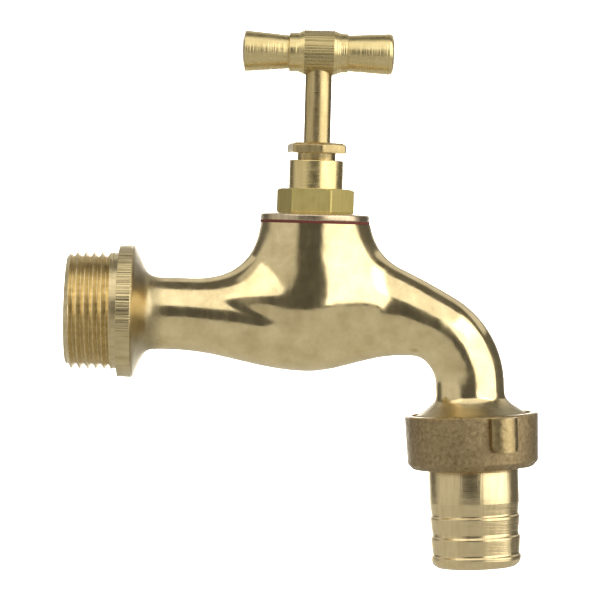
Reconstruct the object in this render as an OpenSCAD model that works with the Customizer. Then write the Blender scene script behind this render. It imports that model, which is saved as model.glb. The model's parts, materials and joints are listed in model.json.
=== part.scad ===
// Brass hose bib: a globe-valve garden tap with a T-handle, a threaded inlet with a flange,
// a swan-neck spout and a hose tail held on by a union nut.
// Origin: inlet axis at the flange's sealing face. +X towards the spout, +Z up along the stem.

/* [Pipe threads] */
// Crest diameter of the inlet and outlet threads
thread_d = 33.24; // [33.1:0.02:33.3]
// Distance from one thread to the next
thread_pitch = 2.309; // [1.814:0.001:2.309]
// Depth of the thread from crest to root
thread_depth = 1.479; // [1.4:0.01:1.5]

/* [Inlet] */
// Length of the threaded spigot ahead of the flange
inlet_len = 14.6; // [14:0.1:15]
// Diameter of the inlet flange
flange_d = 37.4; // [37:0.1:38]
// Thickness of the inlet flange
flange_t = 4; // [3.5:0.1:4.5]
// Diameter of the inlet waterway
inlet_bore_d = 16; // [14:0.5:16]

/* [Casting] */
// Distance from the flange face to the stem axis
stem_x = 54.4; // [54:0.1:55]
// Diameter of the neck that takes the bonnet
neck_d = 30.4; // [30:0.1:31]
// Height of the neck's top face above the inlet axis
neck_top = 25.9; // [25.5:0.1:26.2]
// Height of the valve seat above the inlet axis
seat_z = 5; // [4.8:0.1:5.2]
// Diameter of the hole in the valve seat
seat_d = 13; // [12:0.5:13]

/* [Spout] */
// Distance from the flange face to the middle of the spout's bend
bend_x = 80; // [79.5:0.1:80.5]
// Height of the middle of the spout's bend (below the inlet axis)
bend_z = -19; // [-19.5:0.1:-18.5]
// Radius of the spout's bend
bend_r = 19.3; // [19:0.1:19.5]
// Angle between the outlet and the vertical
outlet_tilt = 3.5; // [3:0.1:4]

/* [Bonnet and stem] */
// Width across the flats of the bonnet's hexagon
bonnet_af = 19; // [18.5:0.1:19.5]
// Diameter of the bonnet's flange
bonnet_d = 30.7; // [30.4:0.1:31]
// Diameter of the stuffing box above the hexagon
box_d = 15.2; // [15:0.1:15.6]
// Width across the flats of the gland nut
gland_af = 15.2; // [15:0.1:15.4]
// Diameter of the stem above the gland
stem_d = 7.5; // [7.3:0.1:7.6]
// How far the valve lifts off its seat
valve_lift = 5; // [4:0.5:5]

/* [T-handle] */
// Height of the handle's axis above the inlet axis
handle_z = 73.8; // [73:0.1:74]
// Diameter of the handle's hub
hub_d = 12.6; // [12.2:0.1:13]
// Reach of the left grip from the stem axis
left_reach = 21.6; // [21:0.1:22]
// Reach of the right grip from the stem axis
right_reach = 21.1; // [20.5:0.1:21.5]

/* [Hose union] */
// Outside diameter of the union nut at its top
nut_d = 37.5; // [37:0.1:38]
// Height of the union nut
nut_h = 15.1; // [15:0.1:15.3]
// Diameter of the hose tail below the nut
tail_d = 25.4; // [25.2:0.1:25.5]
// Diameter of the hose tail's waterway
tail_bore_d = 19; // [18:0.5:19.5]

/* [Hidden] */
$fn = 96;
brass = "#c9b26a";
bright_brass = "#dcc98a";
cast_bronze = "#9c8350";
fibre_red = "#8c3b2a";
rubber_black = "#262626";
packing_grey = "#6b655a";

eps = 0.02;             // overlap that joins two solids of one piece
run_clear = 0.05;       // radial gap of a turning fit
face_gap = 0.05;        // gap between faces that turn against each other
crest_r = thread_d / 2;
root_r = crest_r - thread_depth;
neck_r = neck_d / 2;
stem_r = stem_d / 2;

// Hollow of the body
chamber_r = 11.5;                   // upper chamber, above the seat
spigot_r = 12.4;                    // bonnet thread, inside the neck
bonnet_foot = seat_z + 5.1 + valve_lift + 0.4;
spout_bore_r = 7.5;
lower_chamber_r = 6.9;               // below the seat

// Levels on the stem axis
gasket_t = 0.75;
flange_z = neck_top + gasket_t;     // underside of the bonnet's flange
hex_z = flange_z + 2.55;
box_z = hex_z + 6.4;
box_top = box_z + 8;
gland_gap = 2;
nut_z = box_top + gland_gap;        // underside of the gland nut's hexagon
nut_top = nut_z + 2.9;
packing_z = box_z + 1.1;            // floor of the stuffing box
packing_r = 5.4;
washer_t = 0.8;
ring_t = 1.6;
washer_z = seat_z + face_gap;       // underside of the rubber seat washer
seat_washer_t = 3;
disc_t = 2;
disc_top = washer_z + seat_washer_t + disc_t;
stem_foot = disc_top + 0.3;
lead_r = 5.5;                       // crest radius of the stem's lifting thread
lead_top = 30;

// Levels down the outlet axis, measured from outlet_start
outlet_start = [bend_x + bend_r * cos(outlet_tilt), 0, bend_z + bend_r * sin(outlet_tilt)];
nut_w = 8.6;
outlet_end = 17;
tail_washer_t = 2;
collar_t = 2;
collar_w = outlet_end + tail_washer_t;
nut_floor = collar_w + collar_t + 0.3;
nut_end = nut_w + nut_h;
tail_end = nut_end + 27.9;

// ---- Shape of the casting -------------------------------------------------------------

tube_top = 9.8;         // height of the tube's top line near the flange
tube_bottom = 10.65;    // depth of its bottom line
tube_side = 10.2;       // half width of the tube
bowl_x = 52.5;          // deepest point of the bowl under the seat
bowl_in = 37;           // reach of the bowl towards the inlet
bowl_out = 30;          // reach of the bowl towards the spout
bowl_dip = 5.05;        // extra depth of the bowl
bowl_swell = 3.5;       // extra half width of the bowl
spout_top = 13.5;       // height of the spout's back where its bend starts
spout_fall = 0.45;      // slope of the spout's back ahead of the bend
blend_inlet = 19;       // fillet between neck and tube on the inlet side
blend_spout = 10;       // fillet between neck and spout
blend_side = 5;         // fillet between neck and bowl at the front and back
neck_foot = 4;          // height where the neck's round foot starts

function clamp(v, low, high) = min(max(v, low), high);
function ease(t) = let (c = clamp(t, 0, 1)) c * c * (3 - 2 * c);
function oval(u, v, ru, rv) = (norm([u / ru, v / rv]) - 1) * min(ru, rv);

// Share of the bowl's swelling at a station along the run
function bowl(x) = let (d = x - bowl_x, reach = d < 0 ? bowl_in : bowl_out)
    abs(d) < reach ? (1 + cos(180 * d / reach)) / 2 : 0;

// Signed distances, below zero inside the metal: level run, bend, outlet and neck
function level_run(p) =
    let (b = bowl(p.x), s = ease((p.x - 44) / 20),
         top = tube_top * (1 - s) + (spout_top + spout_fall * (bend_x - p.x)) * s,
         bottom = -tube_bottom - bowl_dip * b)
    oval(p.z - (top + bottom) / 2, p.y, (top - bottom) / 2, tube_side + bowl_swell * b);
function bend_outer(turn) = 9.6 + 3.6 * pow(max(0, (turn - 60) / 30), 2);
function bend_inner(turn) = 9.9 + 1.05 * pow(max(0, (turn - 50) / 40), 2);
function bend_centre(turn) = bend_r + (bend_outer(turn) - bend_inner(turn)) / 2;
function bend_run(p) =
    let (dx = p.x - bend_x, dz = p.z - bend_z, turn = clamp(atan2(dz, dx), outlet_tilt, 90),
         half = (bend_outer(turn) + bend_inner(turn)) / 2)
    oval(norm([dx, dz]) - bend_centre(turn), p.y, half, 9.7 + 0.5 * turn / 90);
function outlet_run(p) =
    let (d = p - outlet_start)
    oval(d.x * cos(outlet_tilt) + d.z * sin(outlet_tilt), d.y, 9.75, 9.7);
function main_run(p) = p.x <= bend_x ? level_run(p)
    : atan2(p.z - bend_z, p.x - bend_x) > outlet_tilt ? bend_run(p) : outlet_run(p);
function neck_run(p) = norm([p.x - stem_x, p.y, min(p.z - neck_foot, 0)]) - neck_r;

// The neck melts into the run with a fillet that is widest along the run
function blend_size(p) =
    let (dx = p.x - stem_x, along = dx * dx / (dx * dx + p.y * p.y + 0.001),
         wide = dx < 0 ? blend_inlet : blend_spout)
    blend_side + (wide - blend_side) * along * ease((p.z + 2) / 8);
function casting(p) =
    let (a = main_run(p), b = neck_run(p), k = blend_size(p), h = max(k - abs(a - b), 0) / k)
    min(a, b) - h * h * k / 4;

// Distance along a ray at which it leaves the metal, by halving the interval
function leave(from, way, low, high, steps) =
    let (mid = (low + high) / 2)
    steps == 0 ? mid
    : casting(from + way * mid) < 0 ? leave(from, way, mid, high, steps - 1)
    : leave(from, way, low, mid, steps - 1);

// A station is a point on the spine and the direction that is up in its cross section
neck_steps = 14;
stations = concat(
    [for (x = [3, 9, 15, 20, 24, 27, 29.5, 31.5, 33, 34.3, 35.4, 36.3, 37, 37.6, 38.2, 38.7])
        [[x, 0, 0], [0, 0, 1]]],
    [for (i = [0:neck_steps])
        [[stem_x - (neck_r - 0.05) * cos(180 * i / neck_steps), 0, 0], [0, 0, 1]]],
    [for (x = [69.9, 70.4, 71, 71.8, 72.8, 74, 75.5, 77.5]) [[x, 0, 0], [0, 0, 1]]],
    [for (i = [0:12])
        let (turn = 90 - (90 - outlet_tilt) * i / 12, r = bend_centre(turn))
        [[bend_x + r * cos(turn), 0, bend_z + r * sin(turn)], [cos(turn), 0, sin(turn)]]],
    [let (down = 6)
        [outlet_start + down * [sin(outlet_tilt), 0, -cos(outlet_tilt)],
         [cos(outlet_tilt), 0, sin(outlet_tilt)]]]
);

// Closed skin through the points where rays from the spine leave the metal
module casting_skin(sides = 32) {
    far = 58;
    rings = [for (s = stations) [for (i = [0:sides - 1])
        let (a = 360 * i / sides, way = cos(a) * s[1] + sin(a) * [0, 1, 0],
             mirrored = i > sides / 2)
        s[0] + way * leave(s[0], way, 1, far, 18)]];
    last = len(rings) - 1;
    points = [for (ring = rings) each ring];
    walls = [for (k = [0:last - 1], i = [0:sides - 1])
        let (a = k * sides + i, b = k * sides + (i + 1) % sides)
        each [[a, b, b + sides], [a, b + sides, a + sides]]];
    first_cap = [for (i = [1:sides - 2]) [0, i + 1, i]];
    tip = last * sides;
    last_cap = [for (i = [1:sides - 2]) [tip, tip + i, tip + i + 1]];
    polyhedron(points = points, faces = concat(walls, first_cap, last_cap), convexity = 6);
}

// ---- Shared shapes --------------------------------------------------------------------

// Turns a shape that is built along +Z so that it lies along +X
module along_x() rotate([0, 90, 0]) children();

// Puts a shape that is built along +Z on the outlet axis, +Z pointing out of the spout
module on_outlet() translate(outlet_start) rotate([0, 180 - outlet_tilt, 0]) children();

// Puts a shape on the stem axis
module on_stem(z = 0) translate([stem_x, 0, z]) children();

// Outline of a row of thread ridges from z to z + count * pitch, crest flats 0.4 wide
function ridges(z, count, pitch, crest, root) = [for (i = [0:count - 1])
    let (mid = z + (i + 0.5) * pitch, flat = min(0.2, pitch / 8), foot = pitch * 0.42)
    each [[root, mid - foot], [crest, mid - flat], [crest, mid + flat], [root, mid + foot]]];

// Solid with ridges along its length, from 0 to len
module ridged_rod(len, start, count, pitch, crest, root) {
    rotate_extrude()
        polygon(concat([[0, 0], [root, 0]], ridges(start, count, pitch, crest, root),
                       [[root, len], [0, len]]));
}

module ring(outer, inner, height) {
    difference() {
        cylinder(r = outer, h = height);
        translate([0, 0, -1]) cylinder(r = inner, h = height + 2);
    }
}

module hexagon(across_flats, height) {
    cylinder(r = across_flats / 2 / cos(30), h = height, $fn = 6);
}

// ---- Tap body -------------------------------------------------------------------------

module inlet_spigot() {
    thread_count = 4;
    runout = inlet_len - (thread_count + 0.35) * thread_pitch;
    along_x() {
        translate([0, 0, -inlet_len])
            ridged_rod(inlet_len, 0.3, thread_count, thread_pitch, crest_r, root_r);
        translate([0, 0, -runout + 0.6]) cylinder(r = crest_r, h = runout - 0.6 + eps);
        // Flange, and the cone behind it that runs into the tube
        rotate_extrude()
            polygon([[0, 0], [flange_d / 2 - 0.2, 0], [flange_d / 2, 0.2],
                     [flange_d / 2, flange_t - 0.3], [18.4, flange_t], [16.7, 5], [14.3, 6.1],
                     [12.5, 7], [11.3, 7.9], [10.3, 9], [9.2, 10.2], [0, 10.2]]);
    }
}

module outlet_spigot() {
    thread_start = nut_w + 0.8;
    thread_count = 3;
    on_outlet() {
        rotate_extrude()
            polygon([[0, 2], [8.6, 2], [9.9, 4.6], [10.6, 5.8], [12, 7], [14.7, nut_w],
                     [14.9, thread_start], [0, thread_start]]);
        translate([0, 0, thread_start - eps])
            ridged_rod(outlet_end - thread_start + eps, 0.2, thread_count, thread_pitch,
                       crest_r, root_r);
    }
}

module body_hollow() {
    bend_bore_r = bend_r + 0.4;
    // Inlet waterway and the way down under the seat
    translate([-inlet_len - 1, 0, 0]) along_x() cylinder(d = inlet_bore_d, h = inlet_len + 39.5);
    translate([35.5, 0, -1.4]) rotate([0, 104, 0]) cylinder(r = 6, h = 16);
    on_stem(-11.5) cylinder(r = lower_chamber_r, h = seat_z + 9.5);
    on_stem(0) cylinder(d = seat_d, h = seat_z + 1);
    // Upper chamber, open at the top for the bonnet
    on_stem(seat_z) cylinder(r = chamber_r, h = neck_top);
    on_stem(bonnet_foot - 1.5) cylinder(r = spigot_r + run_clear, h = neck_top);
    // Way from the upper chamber through the spout
    translate([64.2, 0, 5]) rotate([0, 105.2, 0]) cylinder(r = 6.6, h = 17.8);
    translate([bend_x, 0, bend_z]) rotate([90, 0, 0])
        rotate_extrude(angle = 90 - outlet_tilt, start = outlet_tilt)
            translate([bend_bore_r, 0]) circle(r = spout_bore_r);
    on_outlet() translate([0, 0, -0.4]) cylinder(r = spout_bore_r + 0.5, h = outlet_end + 1);
}

module tap_body() color(bright_brass) {
    difference() {
        union() {
            casting_skin();
            inlet_spigot();
            outlet_spigot();
        }
        on_stem(neck_top) translate([-30, -30, 0]) cube([60, 60, 60]);
        body_hollow();
    }
}

// ---- Bonnet and gland -----------------------------------------------------------------

module bonnet_gasket() color(fibre_red) {
    on_stem(neck_top) ring(bonnet_d / 2 + 0.05, spigot_r + 0.1, gasket_t);
}

module bonnet() color(brass) {
    bonnet_r = bonnet_d / 2;
    on_stem() difference() {
        union() {
            // Threaded spigot inside the neck
            translate([0, 0, bonnet_foot])
                ridged_rod(flange_z - bonnet_foot + eps, 0.6, 6, 1.5, spigot_r, spigot_r - 0.8);
            // Flange, its top sloping up to the hexagon
            rotate_extrude()
                polygon([[0, flange_z], [bonnet_r, flange_z], [bonnet_r, flange_z + 1.3],
                         [bonnet_r - 0.5, flange_z + 1.7], [9, hex_z + 0.3], [0, hex_z + 0.3]]);
            intersection() {
                rotate([0, 0, 53.2]) translate([0, 0, hex_z - 0.5])
                    hexagon(bonnet_af, box_z - hex_z + 0.5);
                translate([0, 0, hex_z - 1])
                    cylinder(r1 = bonnet_af * 0.62 + 3, r2 = bonnet_af / 2 + 0.6,
                             h = box_z - hex_z + 1);
            }
            translate([0, 0, box_z - 1]) cylinder(d = box_d, h = box_top - box_z + 1);
        }
        translate([0, 0, bonnet_foot - 1]) cylinder(r = lead_r + run_clear, h = 21.5);
        translate([0, 0, bonnet_foot]) cylinder(r = stem_r + run_clear, h = 40);
        translate([0, 0, packing_z]) cylinder(r = packing_r + run_clear, h = 20);
    }
}

module packing_washer() color(brass) {
    on_stem(packing_z) ring(packing_r - 0.05, stem_r + 0.1, washer_t);
}

module packing_ring(index) color(packing_grey) {
    on_stem(packing_z + washer_t + index * ring_t) ring(packing_r, stem_r + run_clear, ring_t);
}

module packing_ring_lower() packing_ring(0);
module packing_ring_upper() packing_ring(1);

module gland_follower() color(brass) {
    on_stem(packing_z + washer_t + 2 * ring_t + eps)
        ring(packing_r - 0.05, stem_r + 0.1, washer_t);
}

module gland_nut() color(brass) {
    neck_z = packing_z + 2 * washer_t + 2 * ring_t + eps + face_gap;
    hex_h = nut_top - nut_z;
    on_stem() difference() {
        union() {
            translate([0, 0, neck_z])
                ridged_rod(nut_z - neck_z + 0.5, 0.2, 2, 1, packing_r, packing_r - 0.5);
            intersection() {
                rotate([0, 0, 42]) translate([0, 0, nut_z]) hexagon(gland_af, hex_h);
                rotate_extrude()
                    polygon([[0, nut_z], [gland_af * 0.57, nut_z],
                             [gland_af * 0.59, nut_z + hex_h * 0.4],
                             [gland_af / 2 - 0.2, nut_top], [0, nut_top]]);
            }
        }
        translate([0, 0, neck_z - 1]) cylinder(r = stem_r + run_clear, h = 20);
    }
}

// ---- Valve ----------------------------------------------------------------------------

stud_r = 1.5;
pin_r = 2.4;

module valve_jumper() color(brass) {
    on_stem() {
        translate([0, 0, washer_z + seat_washer_t]) cylinder(r = 9, h = disc_t);
        translate([0, 0, disc_top - eps]) cylinder(r = pin_r, h = 6.5);
        translate([0, 0, washer_z - 4]) cylinder(r = stud_r, h = seat_washer_t + 4 + eps);
    }
}

module seat_washer() color(rubber_black) {
    on_stem(washer_z) ring(8.6, stud_r + eps, seat_washer_t);
}

module washer_plate() color(brass) {
    on_stem(washer_z - washer_t) ring(4.6, stud_r + eps, washer_t);
}

module washer_nut() color(brass) {
    on_stem(washer_z - washer_t - 2.4) difference() {
        hexagon(5.5, 2.4);
        translate([0, 0, -1]) cylinder(r = stud_r + eps, h = 5);
    }
}

// ---- Stem and T-handle ----------------------------------------------------------------

bar_r = 2.5;
stem_top = handle_z + 4.6;

module stem() color(bright_brass) {
    on_stem() difference() {
        union() {
            translate([0, 0, stem_foot])
                ridged_rod(lead_top - stem_foot, 1, 7, 2.5, lead_r, lead_r - 1);
            translate([0, 0, lead_top - 1]) cylinder(r = stem_r, h = stem_top - lead_top + 1);
        }
        translate([0, 0, stem_foot - 1]) cylinder(r = pin_r + 0.1, h = 8.2);
        translate([-stem_d, 0, handle_z]) along_x() cylinder(r = bar_r + eps, h = 2 * stem_d);
    }
}

module handle_hub() color(brass) {
    hub_r = hub_d / 2;
    on_stem(handle_z) difference() {
        along_x() rotate_extrude()
            polygon([[0, -8.4], [5.5, -8.4], [5.5, -5.9], [hub_r, -4.15], [hub_r, 4.15],
                     [5.5, 6.2], [5.5, 8.1], [0, 8.1]]);
        translate([-10, 0, 0]) along_x() cylinder(r = bar_r + eps, h = 20);
        translate([0, 0, -hub_r - 1]) cylinder(r = stem_r + eps, h = hub_r + 5.7);
    }
}

module handle_bar() color(brass) {
    on_stem(handle_z) translate([-19, 0, 0]) along_x() cylinder(r = bar_r, h = 37);
}

// Flared grip from the collar outwards, with a blind hole for the bar
module grip(inner_r, outer_r, collar, reach, corner) {
    difference() {
        rotate_extrude()
            polygon(concat([[0, collar], [inner_r, collar], [outer_r, reach - corner]],
                           [for (a = [30, 60])
                               [outer_r - corner * (1 - cos(a)),
                                reach - corner * (1 - sin(a))]],
                           [[outer_r - corner, reach], [0, reach]]));
        cylinder(r = bar_r + eps, h = 19.2);
    }
}

module left_grip() color(brass) {
    on_stem(handle_z) rotate([0, -90, 0]) grip(4.75, 5.8, 8.4, left_reach, 0.6);
}

module right_grip() color(brass) {
    on_stem(handle_z) rotate([0, 90, 0]) grip(5.1, 5.85, 8.1, right_reach, 2);
}

// ---- Hose union -----------------------------------------------------------------------

module hose_tail() color(brass) {
    tail_r = tail_d / 2;
    // Collar under the nut, plain length below it, then three barbs that fall back to the end
    on_outlet() difference() {
        rotate_extrude()
            polygon([[0, collar_w], [15.9, collar_w], [15.9, collar_w + collar_t],
                     [tail_r - 0.2, collar_w + collar_t], [tail_r - 0.2, nut_end + 0.3],
                     [tail_r, nut_end + 0.6], [tail_r, 33.3], [12.3, 36.5],
                     [tail_r, 37.3], [tail_r, 37.8], [12.25, 41.9],
                     [tail_r, 43.1], [tail_r, 43.6], [12.35, 47.6],
                     [tail_r, 48.5], [tail_r, 49.4], [12.2, 50.6],
                     [11.2, tail_end], [0, tail_end]]);
        cylinder(d = tail_bore_d, h = tail_end + 1);
    }
}

module tail_washer() color(rubber_black) {
    on_outlet() translate([0, 0, outlet_end]) ring(15.8, tail_bore_d / 2, tail_washer_t);
}

// Rib on the side of the nut that a spanner or a mallet catches
module nut_lug() {
    intersection() {
        translate([16.2, 0, 0]) cylinder(r = 5.6, h = 9.5);
        translate([15, -4, 0]) cube([9, 8, 9.5]);
    }
}

module union_nut() color(cast_bronze) {
    on_outlet() difference() {
        union() {
            translate([0, 0, nut_w]) rotate_extrude()
                polygon([[0, 0.3], [17.3, 0], [18.2, 0.25], [nut_d / 2, 0.7],
                         [18.4, nut_h - 1.8], [18, nut_h - 0.7], [16.9, nut_h], [0, nut_h]]);
            for (a = [66, 246])
                rotate([0, 0, a]) translate([0, 0, nut_w + 0.4]) nut_lug();
        }
        cylinder(r = crest_r + 0.1, h = nut_floor);
        cylinder(r = tail_d / 2 + 0.35, h = nut_end + 1);
    }
}

tap_body();
bonnet_gasket();
bonnet();
packing_washer();
packing_ring_lower();
packing_ring_upper();
gland_follower();
gland_nut();
valve_jumper();
seat_washer();
washer_plate();
washer_nut();
stem();
handle_hub();
handle_bar();
left_grip();
right_grip();
hose_tail();
tail_washer();
union_nut();
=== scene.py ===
"""Looks of the brass hose bib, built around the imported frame.

Shapes are worked out in millimetres and turned into metres when a mesh is made.
Every piece stands in the row frame: +X towards the spout, +Z up along the stem.
"""
import json
import math

import bmesh
import bpy
import numpy as np
from mathutils import Matrix, Vector


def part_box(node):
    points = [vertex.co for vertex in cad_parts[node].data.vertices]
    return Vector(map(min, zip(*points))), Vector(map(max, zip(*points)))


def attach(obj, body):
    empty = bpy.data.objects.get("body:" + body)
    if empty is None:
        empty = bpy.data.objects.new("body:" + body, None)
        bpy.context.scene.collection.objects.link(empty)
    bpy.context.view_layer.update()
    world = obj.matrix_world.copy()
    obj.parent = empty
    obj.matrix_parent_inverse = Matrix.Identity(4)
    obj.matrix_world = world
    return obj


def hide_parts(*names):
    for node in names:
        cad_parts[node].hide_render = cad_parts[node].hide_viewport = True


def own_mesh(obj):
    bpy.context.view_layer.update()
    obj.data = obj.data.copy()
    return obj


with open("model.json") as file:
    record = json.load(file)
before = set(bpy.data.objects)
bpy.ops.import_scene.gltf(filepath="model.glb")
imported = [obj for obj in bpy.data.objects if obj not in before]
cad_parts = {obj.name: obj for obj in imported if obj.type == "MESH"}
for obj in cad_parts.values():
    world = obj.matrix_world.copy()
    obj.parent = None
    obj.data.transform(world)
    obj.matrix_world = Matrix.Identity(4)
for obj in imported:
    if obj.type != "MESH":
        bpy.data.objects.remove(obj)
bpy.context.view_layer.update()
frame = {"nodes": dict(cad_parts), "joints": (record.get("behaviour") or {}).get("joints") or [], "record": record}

MM = 0.001

# ---- Driving dimensions, read from the frame ---------------------------------------------

joints = {j["name"]: j for j in frame["joints"]}
mounts = {m["name"]: m for m in frame["record"]["mounts"]}


def node_box(name):
    """Lowest and highest corners of a CAD node, in millimetres."""
    low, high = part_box(name)
    return np.array(low) / MM, np.array(high) / MM


STEM_X = joints["handle_turn"]["pos_m"][0] / MM
# Direction down the outlet, and its angle to the vertical in degrees
OUTLET_DIR = np.array(joints["union_turn"]["axis"])
TILT = math.degrees(math.asin(OUTLET_DIR[0]))
# G1 pipe thread: 11 threads to the inch, with the depth of a Whitworth thread
THREAD_PITCH = 2.309
CREST_R = mounts["inlet_thread"]["dims"]["r_mm"]
ROOT_R = CREST_R - 0.6403 * THREAD_PITCH
TAIL_R = mounts["hose_barb"]["dims"]["r_mm"]
INLET_LEN = -node_box("tap_body")[0][0]
NECK_TOP = node_box("bonnet_gasket")[0][2]
FLANGE_Z = node_box("bonnet_gasket")[1][2]
BONNET_FOOT, BOX_TOP = node_box("bonnet")[0][2], node_box("bonnet")[1][2]
FLANGE_R = (node_box("bonnet")[1][0] - node_box("bonnet")[0][0]) / 2
GLAND_FOOT, NUT_TOP = node_box("gland_nut")[0][2], node_box("gland_nut")[1][2]
HANDLE_Z = (node_box("handle_hub")[0][2] + node_box("handle_hub")[1][2]) / 2
HUB_R = (node_box("handle_hub")[1][2] - node_box("handle_hub")[0][2]) / 2
STEM_FOOT, STEM_TOP = node_box("stem")[0][2], node_box("stem")[1][2]
LEFT_REACH = STEM_X - node_box("left_grip")[0][0]
RIGHT_REACH = node_box("right_grip")[1][0] - STEM_X

# Radii of the stem and of the bar that carries the grips
STEM_R = 3.75
BAR_R = 2.5
# Distance from the stem's axis to the end of the bar's hole in a grip
BAR_HOLE_END = 19.2
# Half length of the hub's barrel, and where its collars meet the grips
BARREL, LEFT_COLLAR, RIGHT_COLLAR = 4.15, 8.4, 8.1
# Gap between a part and the hole it sits in
SLIP = 0.02
# Foot of the bonnet's hexagon, foot of its stuffing box, and the box's radius
HEX_Z = FLANGE_Z + 2.55
BOX_Z = HEX_Z + 6.4
BOX_R = 7.6
# Floor and radius of the packing's chamber, and radius of the hole that the stem passes through
PACKING_Z, PACKING_R, STEM_HOLE_R = BOX_Z + 1.1, 5.45, STEM_R + 0.05
# Underside of the gland nut's hexagon
NUT_Z = NUT_TOP - 2.9
# Widths across the flats of the bonnet and the gland nut
BONNET_AF, GLAND_AF = 19.0, 15.2

# The spout's bend and the outlet axis that starts at its end
BEND = np.array([80.0, 0.0, -19.0])
BEND_R = 19.3
OUTLET_START = BEND + BEND_R * np.array([math.cos(math.radians(TILT)), 0,
                                         math.sin(math.radians(TILT))])
# Distances down the outlet axis from its start: the union nut's top, the end of the outlet
# thread, the tail's collar, the nut's inner floor, the nut's end and the tail's end
NUT_W = 8.6
OUTLET_END = 17.0
COLLAR_W = 19.0
NUT_FLOOR = 21.3
NUT_END = NUT_W + 15.1
TAIL_END = NUT_END + 27.9
# Largest radius of the union nut, and radius of the tail's waterway
NUT_R = 18.75
TAIL_BORE_R = 9.5
# Radii of the waterways inside the threads and round the bend
THREAD_BORE_R, BEND_BORE_R = 8.0, 7.5
# Level of the valve's seat, and radius of the bonnet's spigot in the neck
SEAT_Z, SPIGOT_R = 5.0, 12.3


# ---- Frames that turned shapes stand in --------------------------------------------------

def axis_frame(origin, z_dir, x_dir):
    """Matrix whose +Z is z_dir and whose +X is close to x_dir."""
    z = Vector(z_dir).normalized()
    y = z.cross(Vector(x_dir)).normalized()
    x = y.cross(z)
    rows = Matrix((x, y, z)).transposed().to_4x4()
    return Matrix.Translation(Vector(origin)) @ rows


STEM = axis_frame((STEM_X, 0, 0), (0, 0, 1), (1, 0, 0))
HANDLE = axis_frame((STEM_X, 0, HANDLE_Z), (1, 0, 0), (0, 0, 1))
INLET = axis_frame((0, 0, 0), (1, 0, 0), (0, 0, 1))
OUTLET = axis_frame(OUTLET_START, OUTLET_DIR, (1, 0, 0))


# ---- Mesh helpers ------------------------------------------------------------------------

def mesh_from(name, points, faces, place=Matrix.Identity(4)):
    """Mesh object from points in millimetres, moved by place."""
    turned = np.asarray(points, float) @ np.array(place.to_3x3()).T + np.array(place.translation)
    data = bpy.data.meshes.new(name)
    data.from_pydata((turned * MM).tolist(), [], [list(map(int, f)) for f in faces])
    piece = bpy.data.objects.new(name, data)
    bpy.context.scene.collection.objects.link(piece)
    tidy_mesh(piece)
    return piece


def tidy_mesh(piece, gap=2e-7):
    """Joins points that coincide, drops faces that enclose nothing and turns the rest outwards."""
    bm = bmesh.new()
    bm.from_mesh(piece.data)
    bmesh.ops.remove_doubles(bm, verts=bm.verts, dist=gap)
    bmesh.ops.dissolve_degenerate(bm, edges=bm.edges, dist=gap)
    on_corners = {}
    for face in bm.faces:
        on_corners.setdefault(frozenset(v.index for v in face.verts), []).append(face)
    doubled = [face for faces in on_corners.values() if len(faces) > 1 for face in faces]
    bmesh.ops.delete(bm, geom=doubled, context="FACES")
    loose = [v for v in bm.verts if not v.link_faces]
    bmesh.ops.delete(bm, geom=loose, context="VERTS")
    bmesh.ops.recalc_face_normals(bm, faces=bm.faces)
    bm.to_mesh(piece.data)
    bm.free()


def soften(points, steps=3):
    """Outline whose points (r, z, fillet) have their corners turned into arcs of that fillet."""
    out = []
    count = len(points)
    for i, point in enumerate(points):
        here = np.array(point[:2], float)
        fillet = point[2] if len(point) > 2 else 0
        if not fillet or i in (0, count - 1):
            out.append(here)
            continue
        back = np.array(points[i - 1][:2], float) - here
        ahead = np.array(points[i + 1][:2], float) - here
        back_len, ahead_len = np.linalg.norm(back), np.linalg.norm(ahead)
        back, ahead = back / back_len, ahead / ahead_len
        half = math.acos(float(np.clip(back @ ahead, -0.9999, 0.9999))) / 2
        reach = min(fillet / math.tan(half), 0.45 * back_len, 0.45 * ahead_len)
        for t in np.linspace(0, 1, steps + 1):
            # Quadratic arc from one tangent point to the other
            out.append(here + back * reach * (1 - t) ** 2 + ahead * reach * t ** 2)
    return out


def spin(name, profile, place, columns=128, closed=False):
    """Turned solid. profile is an outline of (r, z, fillet), or a function of the angle."""
    angles = np.arange(columns) * 2 * math.pi / columns
    outlines = [soften(profile(a) if callable(profile) else profile) for a in angles]
    rows = len(outlines[0])
    points = [(r * math.cos(a), r * math.sin(a), z)
              for a, outline in zip(angles, outlines) for r, z in outline]
    faces = []
    for c in range(columns):
        here, there = c * rows, (c + 1) % columns * rows
        for k in range(rows if closed else rows - 1):
            n = (k + 1) % rows
            faces.append((here + k, there + k, there + n, here + n))
    return mesh_from(name, points, faces, place)


def combine(target, tool, operation):
    """Boolean of two closed meshes; the tool is used up."""
    modifier = target.modifiers.new("combine", "BOOLEAN")
    modifier.operation = operation
    modifier.solver = "MANIFOLD"
    modifier.object = tool
    apply_modifiers(target)
    bpy.data.objects.remove(tool)
    return target


def apply_modifiers(piece):
    """Puts the result of the piece's modifiers into its mesh."""
    deps = bpy.context.evaluated_depsgraph_get()
    data = bpy.data.meshes.new_from_object(piece.evaluated_get(deps))
    piece.modifiers.clear()
    piece.data = data


def shade(piece, angle):
    """Smooth shading with edges sharper than the angle, in degrees, kept crisp."""
    bm = bmesh.new()
    bm.from_mesh(piece.data)
    limit = math.radians(angle)
    for face in bm.faces:
        face.smooth = True
    for edge in bm.edges:
        edge.smooth = len(edge.link_faces) == 2 and edge.calc_face_angle(0) < limit
    bm.to_mesh(piece.data)
    bm.free()


def hex_radius(angle, across_flats, turned, corner):
    """Distance from the axis to a hexagon's side; a larger corner cuts the corners back more."""
    local = (math.degrees(angle) - turned) % 60 - 30
    side = across_flats / 2 / math.cos(math.radians(local))
    return min(side, across_flats / 2 / math.cos(math.radians(30)) - corner * 0.4)


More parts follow.
